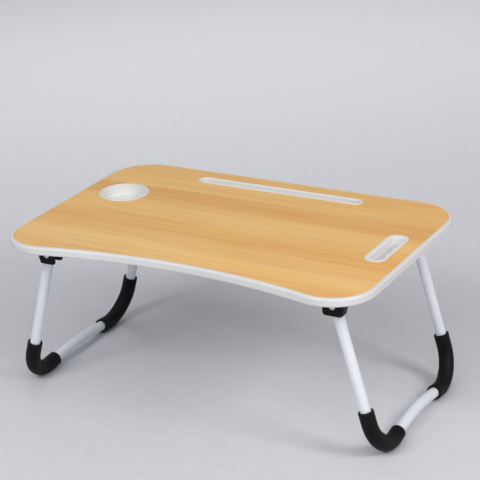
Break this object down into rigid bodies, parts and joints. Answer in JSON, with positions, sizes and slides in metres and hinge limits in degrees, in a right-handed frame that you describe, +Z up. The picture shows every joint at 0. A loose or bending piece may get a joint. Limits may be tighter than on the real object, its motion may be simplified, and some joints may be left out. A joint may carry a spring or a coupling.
{
  "type": "folding laptop desk",
  "caption": "Low folding desk for use in bed: a rounded wood-grain board with a cup well, tablet slot and hand hole on two bent-tube legs that fold in under it.",
  "frame": {"origin": "on the floor under the middle of the board", "axes": "+X to the user's right along the board, +Y away from the user, +Z up; the hollow front edge faces -Y"},
  "size_m": [0.626, 0.4, 0.269],
  "materials": {
    "wood_film": "satin printed wood-grain film",
    "fibreboard": "raw fibreboard",
    "backing": "matt backing film",
    "white_edging": "satin white edging",
    "white_moulding": "satin white moulding",
    "white_tube": "white powder coat",
    "black_moulding": "fine-grained black moulding",
    "rivet_steel": "bright zinc",
    "screw_steel": "bright zinc",
    "black_rubber": "matt black rubber"
  },
  "bodies": {
    "top": {"top_film": "wood_film", "board_core": "fibreboard", "backing_film": "backing", "edge_band": "white_edging", "cup_holder": "white_moulding", "tablet_slot": "white_moulding", "handle_grip": "white_moulding", "handle_lower_ring": "white_moulding", "hinge_bracket_front_left": "black_moulding", "hinge_rivet_front_left": "rivet_steel", "bracket_screws_front_left": "screw_steel", "hinge_bracket_rear_left": "black_moulding", "hinge_rivet_rear_left": "rivet_steel", "bracket_screws_rear_left": "screw_steel", "hinge_bracket_front_right": "black_moulding", "hinge_rivet_front_right": "rivet_steel", "bracket_screws_front_right": "screw_steel", "hinge_bracket_rear_right": "black_moulding", "hinge_rivet_rear_right": "rivet_steel", "bracket_screws_rear_right": "screw_steel"},
    "left_leg": {"leg_tube_left": "white_tube", "foot_sleeve_front_left": "black_rubber", "foot_sleeve_rear_left": "black_rubber"},
    "right_leg": {"leg_tube_right": "white_tube", "foot_sleeve_front_right": "black_rubber", "foot_sleeve_rear_right": "black_rubber"}
  },
  "joints": [
    {"name": "left_leg_fold", "type": "hinge", "parent": "top", "child": "left_leg", "pos_m": [-0.2386, 0, 0.2349], "axis": [0, -1, 0], "range_deg": [0, 102.3]},
    {"name": "right_leg_fold", "type": "hinge", "parent": "top", "child": "right_leg", "pos_m": [0.2386, 0, 0.2349], "axis": [0, 1, 0], "range_deg": [0, 107.5]}
  ]
}
